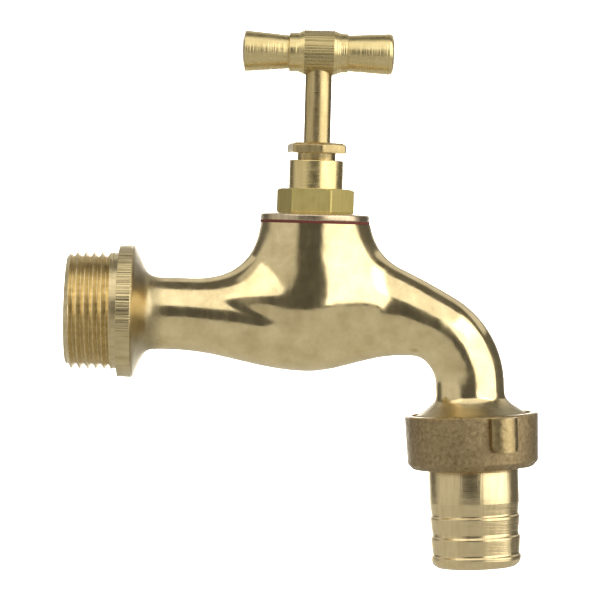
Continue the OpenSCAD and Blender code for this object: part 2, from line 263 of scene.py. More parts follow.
# ---- Threads -----------------------------------------------------------------------------

def ease(t):
    """Smooth step from 0 to 1."""
    c = np.clip(t, 0, 1)
    return c * c * (3 - 2 * c)


def thread_depth(phase):
    """Depth of the groove, 0 on the crest and 1 at the root, over one pitch."""
    ramp = abs(2 * (phase % 1) - 1)
    return 0.5 * ramp + 0.5 * ease(ramp)


def thread_rod(name, place, low, high, shift=0, grow=0, fade_high=0,
               chamfer_low=False, chamfer_high=False):
    """Closed rod with a right-hand thread from low to high along the frame's axis.

    shift turns the thread by that share of a pitch, grow adds to its radius, and the groove
    runs out over fade_high before the high end.
    """
    columns, rows_per_turn = 120, 12
    tip_r = ROOT_R - 0.1
    steps = np.arange(math.floor(low / THREAD_PITCH) - 1,
                      math.ceil(high / THREAD_PITCH) + 1, 1 / rows_per_turn)
    points = []
    for c in range(columns):
        turn = c / columns
        for s in steps:
            z = min(max((s + turn) * THREAD_PITCH, low), high)
            fade = min(1.0, max((high - z) / fade_high, 0)) if fade_high else 1.0
            depth = (CREST_R - ROOT_R) * thread_depth(z / THREAD_PITCH - turn + shift) * fade
            r = CREST_R - depth
            if chamfer_low:
                r = min(r, tip_r + z - low)
            if chamfer_high:
                r = min(r, tip_r + high - z)
            r += grow
            points.append((r * math.cos(2 * math.pi * turn), r * math.sin(2 * math.pi * turn), z))
    rows = len(steps)
    faces = []
    for c in range(columns):
        here, there = c * rows, (c + 1) % columns * rows
        # The last column meets the first one turn further on
        lift = rows_per_turn if c == columns - 1 else 0
        for k in range(rows - 1):
            a, b = k + lift, k + 1 + lift
            if b < rows:
                faces.append((here + k, there + a, there + b, here + k + 1))
    low_tip, high_tip = len(points), len(points) + 1
    points += [(0, 0, low), (0, 0, high)]
    first = [c * rows for c in range(columns)]
    last = [c * rows + rows - 1 for c in range(columns)]
    for c in range(columns):
        n = (c + 1) % columns
        faces.append((low_tip, first[n], first[c]))
        faces.append((high_tip, last[c], last[n]))
    return mesh_from(name, points, faces, place)


# ---- The casting as one smooth surface ---------------------------------------------------

# Radius of the neck, and the level where its rounded foot starts
NECK_R, NECK_FOOT = 15.2, 4.0
# The bowl's middle along the inlet axis, and how far it reaches towards the flange
BOWL_X, BOWL_REACH = 52.5, 37.0
# How much lower and wider than the tube the bowl is at its middle
BOWL_DIP, BOWL_SWELL = 5.05, 3.5
# Top, bottom and side of the tube, measured from the inlet axis
TUBE_TOP, TUBE_BOTTOM, TUBE_SIDE = 9.8, -10.65, 10.2
# Where the spout's back starts, the stretch over which it blends in, its height where the
# bend starts and its slope
BACK_X, BACK_BLEND, BACK_TOP, BACK_SLOPE = 44.0, 20.0, 13.5, 0.45
# Half widths of the bend's lower end: outwards, inwards and to the sides
SPOUT_OUT, SPOUT_IN, SPOUT_SIDE = 9.6, 9.9, 9.7
# Half width of the outlet to the sides
OUTLET_SIDE = 9.72
# Size of the fillet round the neck: at the sides, towards the inlet and towards the spout
NECK_FILLETS = (5.0, 19.0, 10.0)
# Cone behind the flange: its least radius, how much wider it is at the flange, and its end
CONE_R, CONE_FLARE, CONE_END = 8.8, 9.8, 25.0
# Flare above the union nut: its least radius and how much wider it is at the nut
FLARE_R, FLARE_SWELL = 8.5, 6.9
# Radius of the flange's rim and its thickness
RIM_R, FLANGE_T = 18.7, 4.0
# The skin ends inside the flange, inside the outlet thread and above the neck's top face
SKIN_START, SKIN_END, SKIN_TOP = 1.2, 11.0, 31.0


def oval(u, v, ru, rv):
    """Distance-like value of an ellipse with the half widths ru and rv."""
    return (np.sqrt((u / ru) ** 2 + (v / rv) ** 2) - 1) * np.minimum(ru, rv)


def level_run(x, y, z):
    """Tube from the flange through the bowl to the back of the spout."""
    d = x - BOWL_X
    reach = np.where(d < 0, BOWL_REACH, BEND[0] - BOWL_X)
    bowl = np.where(np.abs(d) < reach, (1 + np.cos(np.pi * d / reach)) / 2, 0)
    # Within the neck the top changes over to the straight back of the spout
    back = ease((x - BACK_X) / BACK_BLEND)
    top = TUBE_TOP * (1 - back) + (BACK_TOP + BACK_SLOPE * (BEND[0] - x)) * back
    bottom = TUBE_BOTTOM - BOWL_DIP * bowl
    return oval(z - (top + bottom) / 2, y, (top - bottom) / 2, TUBE_SIDE + BOWL_SWELL * bowl)


def bend_run(x, y, z, turn):
    """Bend of the spout; turn is the angle round its middle in degrees, 90 at the top."""
    held = np.clip(turn, TILT, 90)
    # At its top the bend has the outline that the level run ends with
    middle_z = BEND[2] + BEND_R
    outer_growth = BACK_TOP - middle_z - SPOUT_OUT
    inner_growth = middle_z - TUBE_BOTTOM - SPOUT_IN
    outer = SPOUT_OUT + outer_growth * np.maximum(0, (held - 60) / 30) ** 2.1
    inner = SPOUT_IN + inner_growth * ease((held - 50) / 40)
    side = SPOUT_SIDE + (TUBE_SIDE - SPOUT_SIDE) * held / 90
    across = np.hypot(x - BEND[0], z - BEND[2]) - BEND_R - (outer - inner) / 2
    return oval(across, y, (outer + inner) / 2, side)


def on_outlet(x, z):
    """Distance across and along the outlet axis."""
    dx, dz = x - OUTLET_START[0], z - OUTLET_START[2]
    return -dx * OUTLET_DIR[2] + dz * OUTLET_DIR[0], dx * OUTLET_DIR[0] + dz * OUTLET_DIR[2]


def main_run(x, y, z):
    """Tube, bowl, bend and outlet one after the other."""
    turn = np.degrees(np.arctan2(z - BEND[2], x - BEND[0]))
    across, _ = on_outlet(x, z)
    outlet = oval(across - (SPOUT_OUT - SPOUT_IN) / 2, y, (SPOUT_OUT + SPOUT_IN) / 2,
                  OUTLET_SIDE)
    return np.where(x <= BEND[0], level_run(x, y, z),
                    np.where(turn > TILT, bend_run(x, y, z, turn), outlet))


def melt(a, b, k):
    """Union of two shapes with a fillet of about the size k."""
    h = np.maximum(k - np.abs(a - b), 0) / k
    return np.minimum(a, b) - h * h * k / 4


def casting(p):
    """Distance-like value of the casting, below zero inside the metal."""
    x, y, z = p
    dx = x - STEM_X
    neck = np.sqrt(dx ** 2 + y ** 2 + np.minimum(z - NECK_FOOT, 0) ** 2) - NECK_R
    # The fillet round the neck is wide along the tube and small at the sides
    at_sides, to_inlet, to_spout = NECK_FILLETS
    along = dx ** 2 / (dx ** 2 + y ** 2 + 1e-3)
    wide = np.where(dx < 0, to_inlet, to_spout)
    fillet = at_sides + (wide - at_sides) * along * ease((z + 2) / 8)
    body = melt(main_run(x, y, z), neck, fillet)
    # Cone behind the inlet flange
    behind = np.maximum(x - FLANGE_T, 0)
    cone = np.hypot(y, z) - CONE_R - CONE_FLARE * np.exp(-(behind / 3.1) ** 1.4)
    body = melt(body, np.maximum(cone, x - CONE_END), 1.2)
    # Flare above the union nut, cut off just past the nut's top with a rounded rim
    across, down = on_outlet(x, z)
    flare = np.hypot(across, y) - FLARE_R - FLARE_SWELL * np.clip(down / NUT_W, 0, 1.2) ** 2.3
    flare = -melt(-np.maximum(flare, -down), NUT_W + 0.6 - down, 1.2)
    body = melt(body, flare, 0.9)
    for cut in (SKIN_START - x, down - SKIN_END, z - SKIN_TOP):
        body = -melt(-body, -cut, 2.0)
    return body


def slope(p, gap=0.02):
    """Rate at which the casting's value grows along each axis."""
    out = []
    for k in range(3):
        step = np.zeros((3, 1))
        step[k] = gap
        out.append((casting(p + step) - casting(p - step)) / (2 * gap))
    return np.array(out)


def casting_skin(cell):
    """Closed quad mesh on the casting's surface, by surface nets."""
    # Corners of a box that holds the whole skin
    low, high = np.array([0.0, -20.0, -31.0]), np.array([118.0, 20.0, 32.5])
    axes = [np.arange(low[k], high[k] + cell, cell) for k in range(3)]
    grid = np.array(np.meshgrid(*axes, indexing="ij"))
    shape = grid.shape[1:]
    value = casting(grid.reshape(3, -1)).reshape(shape)
    inside = value < 0
    corners = sum(inside[i:shape[0] - 1 + i, j:shape[1] - 1 + j, k:shape[2] - 1 + k].astype(int)
                  for i in (0, 1) for j in (0, 1) for k in (0, 1))
    mixed = (corners > 0) & (corners < 8)
    number = -np.ones(mixed.shape, int)
    cells = np.argwhere(mixed)
    number[mixed] = np.arange(len(cells))
    points = low[:, None] + (cells.T + 0.5) * cell
    faces = []
    for axis in range(3):
        b, c = (axis + 1) % 3, (axis + 2) % 3
        ahead = np.take(inside, range(1, shape[axis]), axis)
        here = np.take(inside, range(shape[axis] - 1), axis)
        for flip in (False, True):
            edges = np.argwhere((here & ~ahead) if not flip else (~here & ahead))
            ring = []
            for db, dc in ((1, 1), (0, 1), (0, 0), (1, 0)):
                at = edges.copy()
                at[:, b] -= db
                at[:, c] -= dc
                ring.append(number[at[:, 0], at[:, 1], at[:, 2]])
            quads = np.array(ring).T
            faces.append(quads[:, ::-1] if flip else quads)
    faces = np.vstack(faces)
    return relax(points, faces, cell)


def relax(points, faces, cell):
    """Pulls the net onto the surface and evens its spacing."""
    edges = np.vstack([faces[:, [k, (k + 1) % 4]] for k in range(4)])
    degree = np.bincount(edges.ravel(), minlength=points.shape[1])
    for _ in range(8):
        points = project(points, cell)
        total = np.zeros_like(points)
        for k in range(3):
            total[k] = (np.bincount(edges[:, 0], points[k][edges[:, 1]], points.shape[1])
                        + np.bincount(edges[:, 1], points[k][edges[:, 0]], points.shape[1]))
        points = 0.5 * points + 0.5 * total / degree
    for _ in range(3):
        points = project(points, cell)
    return points.T, faces


def project(points, cell):
    """Moves each point straight towards the surface, by at most one cell."""
    value, rise = casting(points), slope(points)
    size = np.maximum((rise ** 2).sum(0), 1e-6)
    step = -value * rise / size
    length = np.sqrt((step ** 2).sum(0))
    step *= np.minimum(1, cell / np.maximum(length, 1e-9))
    return points + step


# ---- Materials ---------------------------------------------------------------------------

# Most of a noise texture's values lie between these two
NOISE_LOW, NOISE_HIGH = 0.3, 0.7


class Shader:
    """Small helper that builds one node material."""

    def __init__(self, name, metallic=1.0):
        self.material = bpy.data.materials.new(name)
        self.material.use_nodes = True
        self.tree = self.material.node_tree
        self.bsdf = self.tree.nodes["Principled BSDF"]
        self.bsdf.inputs["Metallic"].default_value = metallic
        self.coords = self.tree.nodes.new("ShaderNodeTexCoord").outputs["Object"]

    def node(self, kind, **values):
        made = self.tree.nodes.new(kind)
        for key, value in values.items():
            setattr(made, key, value)
        return made

    def link(self, a, b):
        self.tree.links.new(a, b)

    def mapped(self, scale, turn):
        """Object coordinates turned, then stretched; scale is cycles per metre."""
        turned = self.node("ShaderNodeMapping")
        turned.inputs["Rotation"].default_value = turn
        self.link(self.coords, turned.inputs["Vector"])
        stretched = self.node("ShaderNodeVectorMath", operation="MULTIPLY")
        self.link(turned.outputs["Vector"], stretched.inputs[0])
        stretched.inputs[1].default_value = scale
        return stretched.outputs["Vector"]

    def noise(self, scale, turn=(0, 0, 0), detail=2.0, rough=0.5):
        made = self.node("ShaderNodeTexNoise")
        made.inputs["Scale"].default_value = 1.0
        made.inputs["Detail"].default_value = detail
        made.inputs["Roughness"].default_value = rough
        self.link(self.mapped(scale, turn), made.inputs["Vector"])
        return made.outputs["Fac"]

    def plus(self, a, b):
        made = self.node("ShaderNodeMath", operation="ADD")
        self.link(a, made.inputs[0])
        self.link(b, made.inputs[1])
        return made.outputs[0]

    def around(self, axis, centre, count):
        """Noise in lines that run along an axis through centre, about count of them a turn."""
        moved = self.node("ShaderNodeVectorMath", operation="SUBTRACT")
        self.link(self.coords, moved.inputs[0])
        moved.inputs[1].default_value = centre
        split = self.node("ShaderNodeSeparateXYZ")
        self.link(moved.outputs["Vector"], split.inputs[0])
        u, v = [split.outputs[k] for k in range(3) if k != "XYZ".index(axis)]
        angle = self.node("ShaderNodeMath", operation="ARCTAN2")
        self.link(u, angle.inputs[0])
        self.link(v, angle.inputs[1])
        lines = self.node("ShaderNodeTexNoise", noise_dimensions="1D")
        lines.inputs["Scale"].default_value = count / math.pi
        lines.inputs["Detail"].default_value = 1.0
        self.link(angle.outputs[0], lines.inputs["W"])
        return lines.outputs["Fac"]

    def spread(self, value, low, high, start=NOISE_LOW, end=NOISE_HIGH):
        """value from start..end spread over low..high."""
        made = self.node("ShaderNodeMapRange")
        for key, number in (("From Min", start), ("From Max", end), ("To Min", low),
                            ("To Max", high)):
            made.inputs[key].default_value = number
        self.link(value, made.inputs["Value"])
        return made.outputs["Result"]

    def tint(self, value, dark, light):
        """Base colour that runs from dark to light with the value of a noise."""
        ramp = self.node("ShaderNodeValToRGB")
        ramp.color_ramp.elements[0].position = NOISE_LOW
        ramp.color_ramp.elements[0].color = (*dark, 1)
        ramp.color_ramp.elements[1].position = NOISE_HIGH
        ramp.color_ramp.elements[1].color = (*light, 1)
        self.link(value, ramp.inputs["Fac"])
        self.link(ramp.outputs["Color"], self.bsdf.inputs["Base Color"])

    def paint_shade(self, factor):
        """Scales the base colour linked so far by factor, which paints shade into it."""
        made = self.node("ShaderNodeVectorMath", operation="SCALE")
        self.link(self.bsdf.inputs["Base Color"].links[0].from_socket, made.inputs[0])
        self.link(factor, made.inputs["Scale"])
        self.link(made.outputs["Vector"], self.bsdf.inputs["Base Color"])

    def bump(self, *layers):
        """layers are (height, distance in metres, strength), laid one over the other."""
        under = None
        for height, distance, strength in layers:
            made = self.node("ShaderNodeBump")
            made.inputs["Distance"].default_value = distance
            made.inputs["Strength"].default_value = strength
            self.link(height, made.inputs["Height"])
            if under is not None:
                self.link(under, made.inputs["Normal"])
            under = made.outputs["Normal"]
        self.link(under, self.bsdf.inputs["Normal"])


def polished_brass():
    """Buffed casting: glossy, with soft waves and fine scratches across it.

    It is duller close to the flange and to the union nut, and painted shade darkens its colour there.
    """
    flange_shade_span = {"start": 0.009, "end": 0.013}
    off_nut = {"start": -0.0245, "end": -0.0215}
    s = Shader("polished_brass")
    s.tint(s.noise((150, 90, 150), detail=6, rough=0.65), (0.68, 0.54, 0.28), (0.96, 0.79, 0.45))
    buffed = s.spread(s.noise((320, 320, 120), detail=6, rough=0.65), 0.08, 0.22)
    split = s.node("ShaderNodeSeparateXYZ")
    s.link(s.coords, split.inputs[0])
    by_flange = s.spread(split.outputs["X"], 0.20, 0, start=0.010, end=0.014)
    by_nut = s.spread(split.outputs["Z"], 0.22, 0, **off_nut)
    total = s.plus(s.plus(buffed, by_flange), by_nut)
    s.link(total, s.bsdf.inputs["Roughness"])
    # Painted shade: the base colour is darkened close to the flange and to the union nut
    s.paint_shade(s.spread(split.outputs["X"], 0.52, 1, **flange_shade_span))
    s.paint_shade(s.spread(split.outputs["Z"], 0.52, 1, **off_nut))
    waves = s.noise((170, 170, 170), detail=1)
    scratches = s.noise((3600, 700, 500), turn=(0.2, 0.35, 0.1), detail=4)
    s.bump((waves, 0.0004, 0.2), (scratches, 0.00003, 0.3))
    return s.material


def turned_brass(name, dark, light, along, rough=(0.20, 0.32), lines=(4200, 0.25),
                 chatter=None):
    """Lathe finish: rings around the given mesh axis, and tool marks along it if asked for.

    lines is (rings a metre, strength).
    chatter is (a point on the axis in metres, marks a turn, strength).
    """
    s = Shader(name)
    streaks = [900.0, 900.0, 900.0]
    streaks["XYZ".index(along)] = 120.0
    s.tint(s.noise(tuple(streaks), detail=4), dark, light)
    across = [30.0, 30.0, 30.0]
    across["XYZ".index(along)] = lines[0]
    s.link(s.spread(s.noise((500, 500, 500), detail=4), *rough), s.bsdf.inputs["Roughness"])
    layers = [(s.noise(tuple(across), detail=2), 0.6 / lines[0], lines[1])]
    if chatter:
        centre, count, strength = chatter
        layers.append((s.around(along, centre, count), 0.00025, strength))
    s.bump(*layers)
    return s.material


def cast_bronze(name, dark, light, rough, grit_strength):
    """Rough sand casting with a darker skin."""
    s = Shader(name)
    s.tint(s.noise((900, 900, 900), detail=6, rough=0.7), dark, light)
    s.link(s.spread(s.noise((600, 600, 600), detail=3), *rough), s.bsdf.inputs["Roughness"])
    grit = s.noise((2400, 2400, 2400), detail=5, rough=0.75)
    lumps = s.noise((400, 400, 400), detail=2)
    s.bump((lumps, 0.0004, 0.4), (grit, 0.0002, grit_strength))
    return s.material


def red_fibre():
    """Pressed fibre with a fine grain that lies flat in the ring."""
    s = Shader("red_fibre", metallic=0.0)
    s.tint(s.noise((1800, 1800, 6000), detail=4), (0.10, 0.018, 0.012), (0.22, 0.045, 0.03))
    s.bsdf.inputs["Roughness"].default_value = 0.75
    s.bump((s.noise((2600, 2600, 9000), detail=4), 0.00012, 0.7))
    return s.material


def soft_material(name, dark, light, rough, scale):
    """Rubber or yarn that is mostly hidden inside."""
    s = Shader(name, metallic=0.0)
    s.tint(s.noise((scale, scale, scale), detail=4), dark, light)
    s.bsdf.inputs["Roughness"].default_value = rough
    s.bump((s.noise((scale * 2, scale * 2, scale), detail=3), 0.0001, 0.5))
    return s.material


POLISHED = polished_brass()
FLANGE_BRASS = turned_brass("flange_brass", (0.56, 0.45, 0.23), (0.74, 0.61, 0.34), "X",
                            rough=(0.16, 0.26), chatter=((0, 0, 0), 110, 0.8))
THREAD_BRASS = turned_brass("thread_brass", (0.62, 0.50, 0.27), (0.78, 0.65, 0.38), "X",
                            rough=(0.26, 0.38))
STACK_BRASS = turned_brass("stack_brass", (0.72, 0.57, 0.25), (0.82, 0.66, 0.33), "Z")
HEX_BRASS = turned_brass("hex_brass", (0.58, 0.48, 0.17), (0.66, 0.55, 0.22), "Z",
                         rough=(0.46, 0.54), lines=(2600, 0.1))
PINK_BRASS = turned_brass("pink_brass", (0.54, 0.43, 0.28), (0.70, 0.57, 0.38), "Z")
HANDLE_BRASS = turned_brass("handle_brass", (0.66, 0.53, 0.25), (0.80, 0.65, 0.33), "X",
                            rough=(0.24, 0.36), lines=(2400, 0.9))
BARREL_BRASS = turned_brass("barrel_brass", (0.50, 0.40, 0.18), (0.62, 0.50, 0.25), "X",
                            rough=(0.24, 0.34), lines=(2800, 0.05),
                            chatter=((STEM_X * MM, 0, HANDLE_Z * MM), 36, 1.0))
SPINDLE_BRASS = turned_brass("spindle_brass", (0.46, 0.35, 0.16), (0.66, 0.52, 0.26), "Z",
                             rough=(0.24, 0.36))
TAIL_BRASS = turned_brass("tail_brass", (0.74, 0.59, 0.32), (0.86, 0.70, 0.40), "Z",
                          rough=(0.18, 0.27),
                          chatter=(OUTLET_START * MM + OUTLET_DIR * 0.045, 90, 0.12))
BRONZE = cast_bronze("cast_bronze", (0.24, 0.17, 0.08), (0.50, 0.38, 0.21), (0.36, 0.52), 0.7)
LUG_BRONZE = cast_bronze("worn_bronze", (0.34, 0.25, 0.11), (0.56, 0.43, 0.22), (0.26, 0.36), 0.2)
FIBRE = red_fibre()
RUBBER = soft_material("black_rubber", (0.012, 0.012, 0.012), (0.03, 0.03, 0.03), 0.6, 1500)
YARN = soft_material("packing_yarn", (0.10, 0.09, 0.07), (0.20, 0.18, 0.15), 0.85, 2500)


def finish_piece(piece, materials, body, slot, *nodes, angle=35):
    """Cleans, shades and colours a piece, hides the CAD nodes that it stands in for and hangs it on its body."""
    tidy_mesh(piece, gap=1e-6)
    shade(piece, angle)
    painted = [face.material_index for face in piece.data.polygons]
    # A boolean leaves an empty slot behind, so the slots are made afresh
    piece.data.materials.clear()
    for material in materials:
        piece.data.materials.append(material)
    piece.data.polygons.foreach_set("material_index", painted)
    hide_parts(*nodes)
    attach(piece, body)
    return piece


def paint(piece, index, chosen):
    """Gives the faces for which chosen(centre in mm) holds the material index."""
    for face in piece.data.polygons:
        if chosen(np.array(face.center) / MM):
            face.material_index = index


# ---- Tap body ----------------------------------------------------------------------------

def rod(name, place, radius, low, high, columns=64):
    """Plain round rod from low to high along the frame's axis."""
    return spin(name, [(0, low), (radius, low), (radius, high), (0, high)], place, columns)


def tap_body():
    """Casting with its flange and its two outer threads, bored out from every side."""
    points, faces = casting_skin(0.6)
    body = mesh_from("tap_body_skin", points, faces)
    relief_r = CREST_R - 0.3
    flange = spin("flange", [(0, -2), (relief_r, -2), (relief_r, 0, 0.2),
                             (RIM_R - 0.1, 0.0, 0.15), (RIM_R, FLANGE_T, 0.15),
                             (RIM_R - 1.6, FLANGE_T + 0.3), (0, FLANGE_T + 0.3)], INLET, 192)
    combine(body, flange, "UNION")
    thread = thread_rod("inlet_thread", INLET, -INLET_LEN, -1.5, shift=0.55, fade_high=1.0,
                        chamfer_low=True)
    combine(body, thread, "UNION")
    outlet = thread_rod("outlet_thread", OUTLET, NUT_W + 0.7, OUTLET_END, chamfer_low=True,
                        chamfer_high=True)
    combine(body, outlet, "UNION")
    dip = axis_frame((35.5, 0, -1.4), (0.97, 0, -0.243), (0, 0, 1))
    spout = axis_frame((64.2, 0, SEAT_Z), (0.965, 0, -0.262), (0, 0, 1))
    # Name, frame, radius, low end and high end of each hole
    cutters = [
        ("top_cut", STEM, 40, NECK_TOP, 60),
        ("neck_bore", STEM, SPIGOT_R + 0.15, 14, 40),
        ("chamber", STEM, 11.5, SEAT_Z, 20),
        ("seat_hole", STEM, 6.5, 0, SEAT_Z + 3),
        ("lower_chamber", STEM, 6.9, -11.5, 3),
        ("inlet_bore", INLET, THREAD_BORE_R, -INLET_LEN - 2, 38.5),
        ("inlet_dip", dip, 6, 0, 16),
        ("spout_way", spout, 6.6, 0, 17.8),
        ("outlet_bore", OUTLET, THREAD_BORE_R, -0.4, OUTLET_END + 2),
    ]
    for cutter in cutters:
        combine(body, rod(*cutter), "DIFFERENCE")
    combine(body, bend_bore(), "DIFFERENCE")
    tidy_mesh(body)
    # Spigot ahead of the flange, then the flange itself
    paint(body, 1, lambda c: c[0] < -0.05)
    paint(body, 2, lambda c: -0.05 <= c[0] < FLANGE_T + 0.05 and math.hypot(c[1], c[2]) > 16)
    return finish_piece(body, [POLISHED, THREAD_BRASS, FLANGE_BRASS], "root",
                        "polished_brass", "tap_body", angle=30)


def bend_bore():
    """Waterway round the spout's bend, a little outside the bend's middle line."""
    rows, sides, reach = 40, 48, BEND_R + 0.4
    points = []
    for turn in np.radians(np.linspace(90, TILT, rows)):
        for a in np.arange(sides) * 2 * math.pi / sides:
            r = reach + BEND_BORE_R * math.cos(a)
            points.append((BEND[0] + r * math.cos(turn), BEND_BORE_R * math.sin(a),
                           BEND[2] + r * math.sin(turn)))
    faces = [(k * sides + i, k * sides + (i + 1) % sides, (k + 1) * sides + (i + 1) % sides,
              (k + 1) * sides + i) for k in range(rows - 1) for i in range(sides)]
    faces += [tuple(range(sides)), tuple((rows - 1) * sides + i for i in range(sides))]
    return mesh_from("bend_bore", points, faces)


# ---- Bonnet, gasket and gland ------------------------------------------------------------

def gasket():
    """Ring whose rim stands a hair proud of the bonnet's flange."""
    inner = SPIGOT_R + 0.2
    piece = spin("gasket_ring", [(inner, NECK_TOP), (FLANGE_R + 0.02, NECK_TOP, 0.15),
                                 (FLANGE_R + 0.04, FLANGE_Z, 0.15), (inner, FLANGE_Z)],
                 STEM, 192, closed=True)
    return finish_piece(piece, [FIBRE], "root", "red_fibre", "bonnet_gasket")


def bonnet():
    """Flange, hexagon and stuffing box, from the foot up and back down inside."""
    turned, lead_bore_r = 53.2, 5.55

    def profile(angle):
        side = hex_radius(angle, BONNET_AF, turned, corner=0.12)
        # The hexagon's corners are chamfered at the top
        shoulder = BOX_Z - max(0, (side - 9.9) * 0.45)
        return [(lead_bore_r, BONNET_FOOT), (SPIGOT_R, BONNET_FOOT, 0.5), (SPIGOT_R, FLANGE_Z),
                (FLANGE_R, FLANGE_Z, 0.1), (FLANGE_R, FLANGE_Z + 1.75, 0.6),
                (side + 0.7, HEX_Z - 0.1, 0.3), (side, HEX_Z, 0.1), (side, shoulder, 0.12),
                (min(side, 9.4), BOX_Z, 0.1), (BOX_R, BOX_Z, 0.15), (BOX_R, BOX_TOP, 0.3),
                (PACKING_R, BOX_TOP, 0.15), (PACKING_R, PACKING_Z), (STEM_HOLE_R, PACKING_Z),
                (STEM_HOLE_R, BOX_Z - 0.4), (lead_bore_r, BOX_Z - 0.4)]

    piece = spin("bonnet_shell", profile, STEM, 240, closed=True)
    # Hexagon, then everything below it
    paint(piece, 1, lambda c: HEX_Z - 0.05 < c[2] < BOX_Z + 0.02
          and math.hypot(c[0] - STEM_X, c[1]) > 8)
    paint(piece, 2, lambda c: c[2] < HEX_Z - 0.05)
    return finish_piece(piece, [STACK_BRASS, HEX_BRASS, PINK_BRASS], "root", "turned_brass",
                        "bonnet")


def gland_nut():
    """Small hexagon with a rounded top, over a plain spigot."""
    turned, spigot_r = 42, PACKING_R - 0.05

    def profile(angle):
        side = hex_radius(angle, GLAND_AF, turned, corner=0.6)
        past_flat = side - GLAND_AF / 2
        return [(STEM_HOLE_R, GLAND_FOOT), (spigot_r, GLAND_FOOT, 0.2), (spigot_r, NUT_Z, 0.1),
                (side - 0.15, NUT_Z, 0.05), (side, NUT_Z + 0.15, 0.05),
                (side, NUT_TOP - 0.5 - past_flat * 0.25, 0.4),
                (side - 0.7 - past_flat * 0.3, NUT_TOP, 0.4), (STEM_HOLE_R, NUT_TOP, 0.15)]

    piece = spin("gland_nut_hex", profile, STEM, 240, closed=True)
    return finish_piece(piece, [SPINDLE_BRASS], "gland_screw", "turned_brass", "gland_nut")


def packing_ring(node):
    """Yarn ring that is pressed flatter, towards the foot of the packing, by the gland."""
    low, high = node_box(node)
    inner, outer = STEM_R + 0.1, (high[0] - low[0]) / 2
    piece = spin(node + "_yarn", [(inner, low[2]), (outer, low[2], 0.2), (outer, high[2], 0.2),
                                  (inner, high[2])], STEM, 96, closed=True)
    finish_piece(piece, [YARN], "root", "packing_yarn", node)
    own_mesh(piece)


# ---- Stem and T-handle -------------------------------------------------------------------

def stem():
    """Rod with a thick lower end, a socket for the jumper and a cross hole for the bar."""
    thick_r, thick_top, socket_r, socket_depth = 5.4, 29.6, 2.5, 7.2
    outline = [(0, STEM_FOOT), (thick_r, STEM_FOOT, 0.4), (thick_r, thick_top, 0.4),
               (STEM_R, thick_top + 0.6), (STEM_R, STEM_TOP, 0.4), (0, STEM_TOP)]
    piece = spin("stem_rod", outline, STEM, 96)
    combine(piece, rod("stem_socket", STEM, socket_r, STEM_FOOT - 2, STEM_FOOT + socket_depth),
            "DIFFERENCE")
    combine(piece, rod("bar_hole", HANDLE, BAR_R + SLIP, -8, 8), "DIFFERENCE")
    return finish_piece(piece, [SPINDLE_BRASS], "spindle", "turned_brass", "stem")


def handle_hub():
    """Barrel with a short cone and a collar on each side, from left to right."""
    left, right, collar_r = -LEFT_COLLAR, RIGHT_COLLAR, 5.5
    outline = [(0, left), (collar_r, left, 0.2), (collar_r, -5.9, 0.5), (HUB_R, -BARREL, 0.25),
               (HUB_R, BARREL, 0.25), (collar_r + 0.05, 6.2, 0.5), (collar_r, right, 0.2),
               (0, right)]
    piece = spin("hub_barrel", outline, HANDLE, 144)
    upright = axis_frame((STEM_X, 0, HANDLE_Z), (0, 0, 1), (1, 0, 0))
    combine(piece, rod("stem_hole", upright, STEM_R + SLIP, -12, 4.7), "DIFFERENCE")
    combine(piece, rod("bar_hole", HANDLE, BAR_R + SLIP, -12, 12), "DIFFERENCE")
    paint(piece, 1, lambda c: abs(c[0] - STEM_X) < BARREL)
    return finish_piece(piece, [HANDLE_BRASS, BARREL_BRASS], "spindle", "brushed_brass",
                        "handle_hub", angle=15)


def grip(name, node, side, collar, reach, inner_r, outer_r, corner, dome):
    """Grip that widens from inner_r at the collar to outer_r, under a domed end."""
    place = axis_frame((STEM_X, 0, HANDLE_Z), (side, 0, 0), (0, 0, 1))
    outline = [(BAR_R + SLIP, collar), (inner_r, collar, 0.1), (outer_r, reach - dome, corner),
               (outer_r * 0.55, reach - dome * 0.15, 1.5), (0, reach)]
    outline = [(0, BAR_HOLE_END), (BAR_R + SLIP, BAR_HOLE_END)] + outline
    piece = spin(name, outline, place, 120)
    return finish_piece(piece, [HANDLE_BRASS], "spindle", "brushed_brass", node)


# ---- Hose union --------------------------------------------------------------------------

def hose_tail():
    """Collar, plain stretch and three barbs, from the collar down."""
    collar_r, collar_end = 15.85, 21
    outline = [(TAIL_BORE_R, COLLAR_W), (collar_r, COLLAR_W, 0.2), (collar_r, collar_end, 0.2),
               (TAIL_R - 0.15, collar_end), (TAIL_R - 0.15, NUT_END + 0.2),
               (TAIL_R, NUT_END + 0.6), (TAIL_R + 0.03, 33.3, 0.8)]
    # Radius and place of each waist, and where the barb below it starts and ends
    for waist_r, waist, start, end in ((12.3, 36.5, 36.9, 37.3), (12.25, 41.9, 42.6, 43.1)):
        outline += [(waist_r, waist, 0.6), (waist_r + 0.05, start, 0.1), (TAIL_R, end, 0.15),
                    (TAIL_R, end + 0.5, 0.2)]
    # The last barb is longer, and the tail's end is rounded off
    outline += [(12.35, 47.6, 0.6), (12.4, 48.1, 0.1), (TAIL_R + 0.05, 48.5, 0.15),
                (TAIL_R, 49.5, 0.3), (12.2, 50.7, 0.8), (11.1, TAIL_END, 0.4),
                (TAIL_BORE_R + 0.4, TAIL_END, 0.2), (TAIL_BORE_R, TAIL_END - 0.5)]
    piece = spin("hose_tail_barbs", outline, OUTLET, 192, closed=True)
    return finish_piece(piece, [TAIL_BRASS], "tail", "turned_brass", "hose_tail")


# Angle of the first lug round the outlet axis; the second stands opposite
LUG_ANGLE = 66


